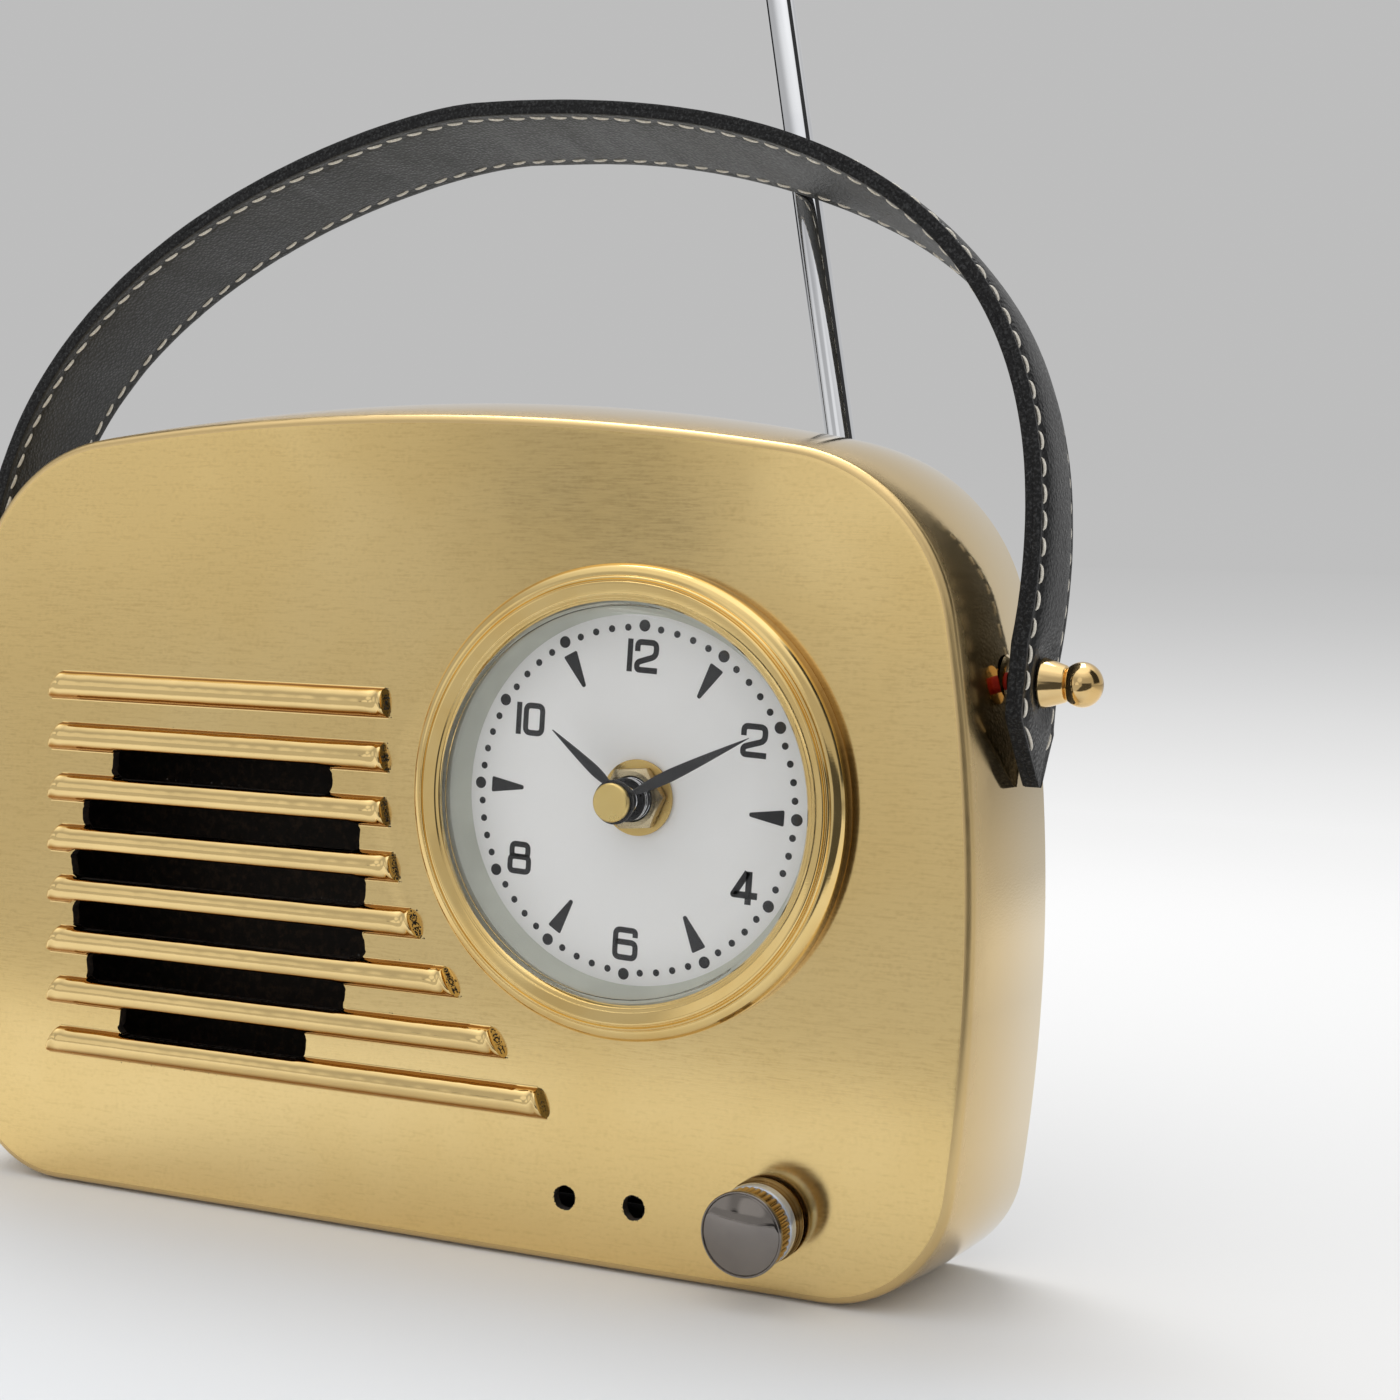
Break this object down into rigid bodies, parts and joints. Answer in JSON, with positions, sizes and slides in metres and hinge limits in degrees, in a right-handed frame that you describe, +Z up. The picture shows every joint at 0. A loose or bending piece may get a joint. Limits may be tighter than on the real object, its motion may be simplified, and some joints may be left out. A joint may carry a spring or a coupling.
{
  "type": "table clock",
  "caption": "Quartz table clock in a brass-coloured cast body shaped like a portable radio, with bars, a round dial under domed glass, a knob, a strap handle and a telescopic aerial.",
  "frame": {"origin": "on the surface that the clock stands on, under the middle of the body", "axes": "+Z up, -Y towards the viewer of the dial, +X to the viewer's right"},
  "size_m": [0.2626, 0.0988, 0.3269],
  "materials": {
    "gold_casting": "satin, brushed along its length",
    "polished_brass": "polished",
    "clear_glass": "clear",
    "dial_print": "matt pale grey lacquer with dark print",
    "black_plastic": "matt",
    "black_rubber": "matt",
    "hand_black": "matt black",
    "steel": "bright zinc plate",
    "white_nylon": "natural",
    "chrome": "polished",
    "dark_nickel": "polished black nickel",
    "black_leather": "pebbled, cream stitching",
    "lining_leather": "pebbled, cream stitching",
    "red_fibre": "matt vulcanised fibre",
    "board_green": "solder mask",
    "copper_wire": "enamelled copper winding",
    "base_felt": "felt"
  },
  "bodies": {
    "clock": {"body_shell": "gold_casting", "base_pad": "base_felt", "back_plate": "black_plastic", "back_screw_1": "steel", "back_screw_2": "steel", "back_screw_3": "steel", "back_screw_4": "steel", "bezel": "polished_brass", "crystal": "clear_glass", "dial_ring": "white_nylon", "dial_plate": "dial_print", "dial_retainer": "polished_brass", "movement_gasket": "black_rubber", "shaft_washer": "polished_brass", "shaft_nut": "polished_brass", "shaft_bush": "steel", "movement_case": "black_plastic", "movement_cover": "black_plastic", "train_plate": "steel", "battery": "steel", "contact_plus": "polished_brass", "contact_minus": "polished_brass", "circuit_board": "board_green", "stator": "steel", "coil": "copper_wire", "ball_stud_left": "polished_brass", "ball_stud_right": "polished_brass", "spacer_left": "red_fibre", "spacer_right": "red_fibre", "stud_nut_left": "steel", "stud_nut_right": "steel", "knob_bush": "polished_brass", "knob_nut": "steel", "aerial_foot": "chrome"},
    "handle": {"strap_outer": "black_leather", "strap_lining": "lining_leather"},
    "minute": {"minute_arbor": "polished_brass", "minute_hand": "hand_black", "shaft_cap": "polished_brass"},
    "hour": {"hour_wheel": "white_nylon", "hour_hand": "hand_black"},
    "minute_wheel": {"minute_wheel": "white_nylon"},
    "setting_knob": {"setting_knob": "white_nylon"},
    "rotor": {"rotor": "steel"},
    "knob": {"knob_base": "polished_brass", "knob_collar": "chrome", "knob_band": "polished_brass", "knob_cap": "dark_nickel", "knob_shaft": "steel"},
    "aerial_swivel": {"aerial_swivel": "chrome", "aerial_pin": "steel"},
    "aerial_section_1": {"aerial_section_1": "chrome"},
    "aerial_section_2": {"aerial_section_2": "chrome"},
    "aerial_section_3": {"aerial_section_3": "chrome", "aerial_tip": "chrome"}
  },
  "joints": [
    {"name": "handle_swing", "type": "hinge", "parent": "clock", "child": "handle", "pos_m": [0, 0.003, 0.114], "axis": [1, 0, 0], "range_deg": [0, 130]},
    {"name": "minute_turn", "type": "hinge", "parent": "clock", "child": "minute", "pos_m": [0.0475, -0.019, 0.0902], "axis": [0, 1, 0], "continuous": true},
    {"name": "hour_turn", "type": "hinge", "parent": "clock", "child": "hour", "pos_m": [0.0475, -0.019, 0.0902], "axis": [0, 1, 0], "continuous": true},
    {"name": "minute_wheel_turn", "type": "hinge", "parent": "clock", "child": "minute_wheel", "pos_m": [0.04023, -0.019, 0.0944], "axis": [0, 1, 0], "continuous": true},
    {"name": "setting_turn", "type": "hinge", "parent": "clock", "child": "setting_knob", "pos_m": [0.03295, -0.019, 0.0986], "axis": [0, 1, 0], "continuous": true},
    {"name": "rotor_turn", "type": "hinge", "parent": "clock", "child": "rotor", "pos_m": [0.059, -0.019, 0.1027], "axis": [0, 1, 0], "continuous": true},
    {"name": "knob_turn", "type": "hinge", "parent": "clock", "child": "knob", "pos_m": [0.0763, -0.019, 0.0149], "axis": [0, 1, 0], "continuous": true},
    {"name": "aerial_turn", "type": "hinge", "parent": "clock", "child": "aerial_swivel", "pos_m": [0.0733, 0.0245, 0.1438], "axis": [0, 1, 0], "range_deg": [-75, 100]},
    {"name": "aerial_fold", "type": "hinge", "parent": "aerial_swivel", "child": "aerial_section_1", "pos_m": [0.0733, 0.0245, 0.1438], "axis": [-0.9677, 0, -0.2521], "range_deg": [0, 70]},
    {"name": "aerial_slide_2", "type": "slide", "parent": "aerial_section_1", "child": "aerial_section_2", "axis": [-0.2467, 0.2062, 0.9469], "range_m": [-0.034, 0.06]},
    {"name": "aerial_slide_3", "type": "slide", "parent": "aerial_section_2", "child": "aerial_section_3", "axis": [-0.2467, 0.2062, 0.9469], "range_m": [-0.022, 0.06]}
  ],
  "couplings": [
    {"joint": "hour_turn", "follows": "minute_turn", "ratio": 0.083333},
    {"joint": "minute_wheel_turn", "follows": "minute_turn", "ratio": -0.33333},
    {"joint": "setting_turn", "follows": "minute_turn", "ratio": 1}
  ]
}
